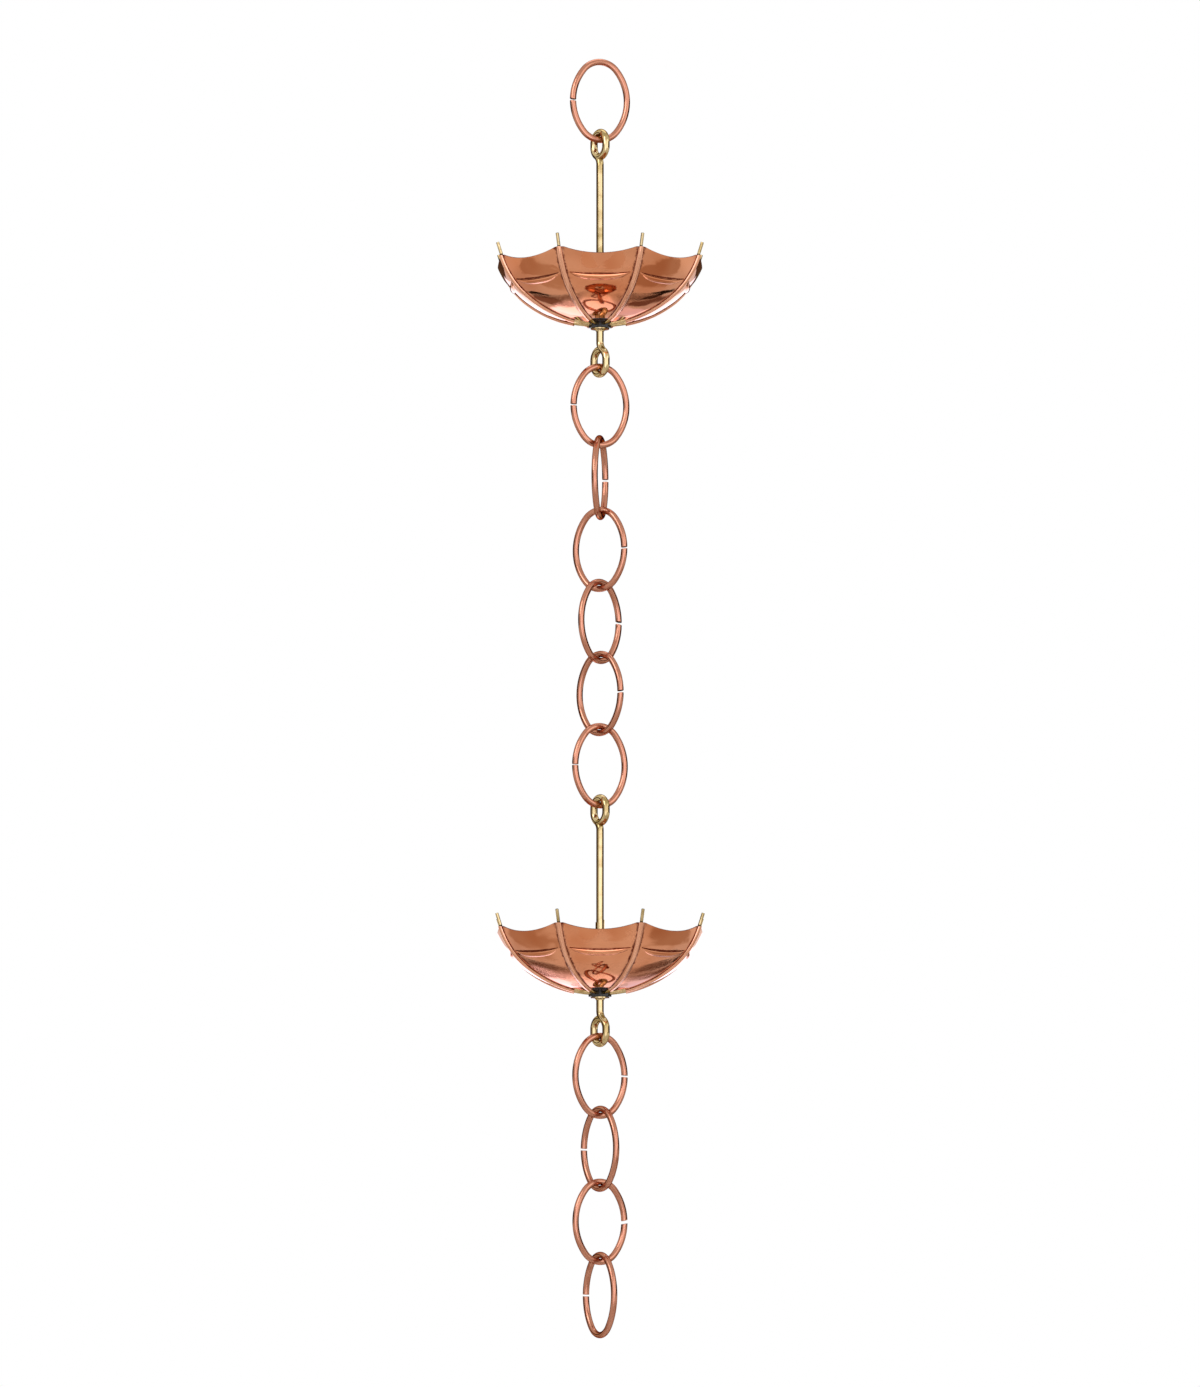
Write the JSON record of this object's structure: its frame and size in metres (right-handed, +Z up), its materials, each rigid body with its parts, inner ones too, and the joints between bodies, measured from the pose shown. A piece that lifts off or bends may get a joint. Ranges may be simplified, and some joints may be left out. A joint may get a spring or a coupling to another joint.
{
  "type": "rain chain",
  "caption": "Hanging rain chain of open oval copper links with inverted-umbrella copper cups on brass eye stems that catch and pass on rainwater.",
  "frame": {"origin": "the inside of the top link at its highest point, where the chain bears on its gutter hook", "axes": "+Z up, the chain hangs down along -Z; +X to the right and +Y away from the viewer of the picture"},
  "size_m": [0.1552, 0.1552, 0.9591],
  "materials": {
    "copper_sheet": "polished copper",
    "copper_wire": "drawn copper, satin",
    "brass_rod": "satin brass",
    "brass_wire": "satin brass",
    "brass_fittings": "satin brass",
    "black_hub": "black satin"
  },
  "bodies": {
    "top_link": {"top_link": "copper_wire"},
    "upper_cup": {"upper_stem": "brass_rod", "upper_canopy": "copper_sheet", "upper_hub": "black_hub", "upper_collar": "brass_fittings", "upper_sleeve": "brass_fittings", "upper_rib_1": "brass_wire", "upper_rib_2": "brass_wire", "upper_rib_3": "brass_wire", "upper_rib_4": "brass_wire", "upper_rib_5": "brass_wire", "upper_rib_6": "brass_wire", "upper_rib_7": "brass_wire", "upper_rib_8": "brass_wire"},
    "chain_link_1": {"chain_link_1": "copper_wire"},
    "chain_link_2": {"chain_link_2": "copper_wire"},
    "chain_link_3": {"chain_link_3": "copper_wire"},
    "chain_link_4": {"chain_link_4": "copper_wire"},
    "chain_link_5": {"chain_link_5": "copper_wire"},
    "chain_link_6": {"chain_link_6": "copper_wire"},
    "lower_cup": {"lower_stem": "brass_rod", "lower_canopy": "copper_sheet", "lower_hub": "black_hub", "lower_collar": "brass_fittings", "lower_sleeve": "brass_fittings", "lower_rib_1": "brass_wire", "lower_rib_2": "brass_wire", "lower_rib_3": "brass_wire", "lower_rib_4": "brass_wire", "lower_rib_5": "brass_wire", "lower_rib_6": "brass_wire", "lower_rib_7": "brass_wire", "lower_rib_8": "brass_wire"},
    "chain_link_7": {"chain_link_7": "copper_wire"},
    "chain_link_8": {"chain_link_8": "copper_wire"},
    "chain_link_9": {"chain_link_9": "copper_wire"},
    "chain_link_10": {"chain_link_10": "copper_wire"}
  },
  "joints": [
    {"name": "upper_cup_swing", "type": "hinge", "parent": "top_link", "child": "upper_cup", "pos_m": [0, 0, -0.0568], "axis": [0.9703, 0.2419, 0], "range_deg": [-60, 60]},
    {"name": "chain_link_1_swing", "type": "hinge", "parent": "upper_cup", "child": "chain_link_1", "pos_m": [0, 0, -0.23425], "axis": [0.5736, -0.8192, 0], "range_deg": [-60, 60]},
    {"name": "chain_link_2_swing", "type": "hinge", "parent": "chain_link_1", "child": "chain_link_2", "pos_m": [0, 0, -0.28795], "axis": [-0.9455, -0.3256, 0], "range_deg": [-60, 60]},
    {"name": "chain_link_3_swing", "type": "hinge", "parent": "chain_link_2", "child": "chain_link_3", "pos_m": [0, 0, -0.34205], "axis": [-0.1908, -0.9816, 0], "range_deg": [-60, 60]},
    {"name": "chain_link_4_swing", "type": "hinge", "parent": "chain_link_3", "child": "chain_link_4", "pos_m": [0, 0, -0.39615], "axis": [0.866, -0.5, 0], "range_deg": [-60, 60]},
    {"name": "chain_link_5_swing", "type": "hinge", "parent": "chain_link_4", "child": "chain_link_5", "pos_m": [0, 0, -0.45025], "axis": [0.6691, 0.7431, 0], "range_deg": [-60, 60]},
    {"name": "chain_link_6_swing", "type": "hinge", "parent": "chain_link_5", "child": "chain_link_6", "pos_m": [0, 0, -0.50435], "axis": [-0.7314, 0.682, 0], "range_deg": [-60, 60]},
    {"name": "lower_cup_swing", "type": "hinge", "parent": "chain_link_6", "child": "lower_cup", "pos_m": [0, 0, -0.55845], "axis": [-0.8829, -0.4695, 0], "range_deg": [-60, 60]},
    {"name": "chain_link_7_swing", "type": "hinge", "parent": "lower_cup", "child": "chain_link_7", "pos_m": [0, 0, -0.7359], "axis": [0.5736, -0.8192, 0], "range_deg": [-60, 60]},
    {"name": "chain_link_8_swing", "type": "hinge", "parent": "chain_link_7", "child": "chain_link_8", "pos_m": [0, 0, -0.7896], "axis": [0.8746, 0.4848, 0], "range_deg": [-60, 60]},
    {"name": "chain_link_9_swing", "type": "hinge", "parent": "chain_link_8", "child": "chain_link_9", "pos_m": [0, 0, -0.8437], "axis": [-0.5736, 0.8192, 0], "range_deg": [-60, 60]},
    {"name": "chain_link_10_swing", "type": "hinge", "parent": "chain_link_9", "child": "chain_link_10", "pos_m": [0, 0, -0.8978], "axis": [-0.866, -0.5, 0], "range_deg": [-60, 60]}
  ]
}
